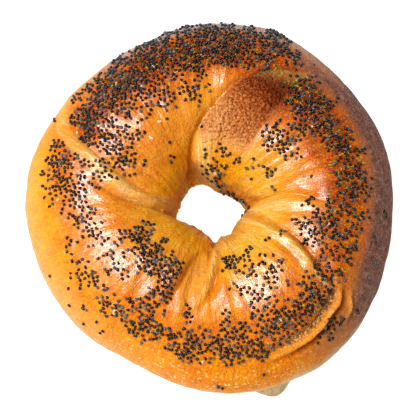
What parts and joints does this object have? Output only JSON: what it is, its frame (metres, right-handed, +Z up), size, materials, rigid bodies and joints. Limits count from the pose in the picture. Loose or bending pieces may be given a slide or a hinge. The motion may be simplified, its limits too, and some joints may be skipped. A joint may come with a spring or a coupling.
{
  "type": "bagel",
  "caption": "Hand-rolled poppy-seed bagel: a thick baked ring of twisted dough with a small hole, folds between its lobes and a flat base.",
  "frame": {"origin": "middle of the bagel's box, on the flat base it rests on", "axes": "+Z up through the hole; -Y is the near side when the bagel is seen with its spread foot towards the viewer"},
  "size_m": [0.1082, 0.1108, 0.037],
  "materials": {
    "crust": "satin"
  },
  "bodies": {
    "root": {"bagel": "crust"}
  },
  "joints": []
}
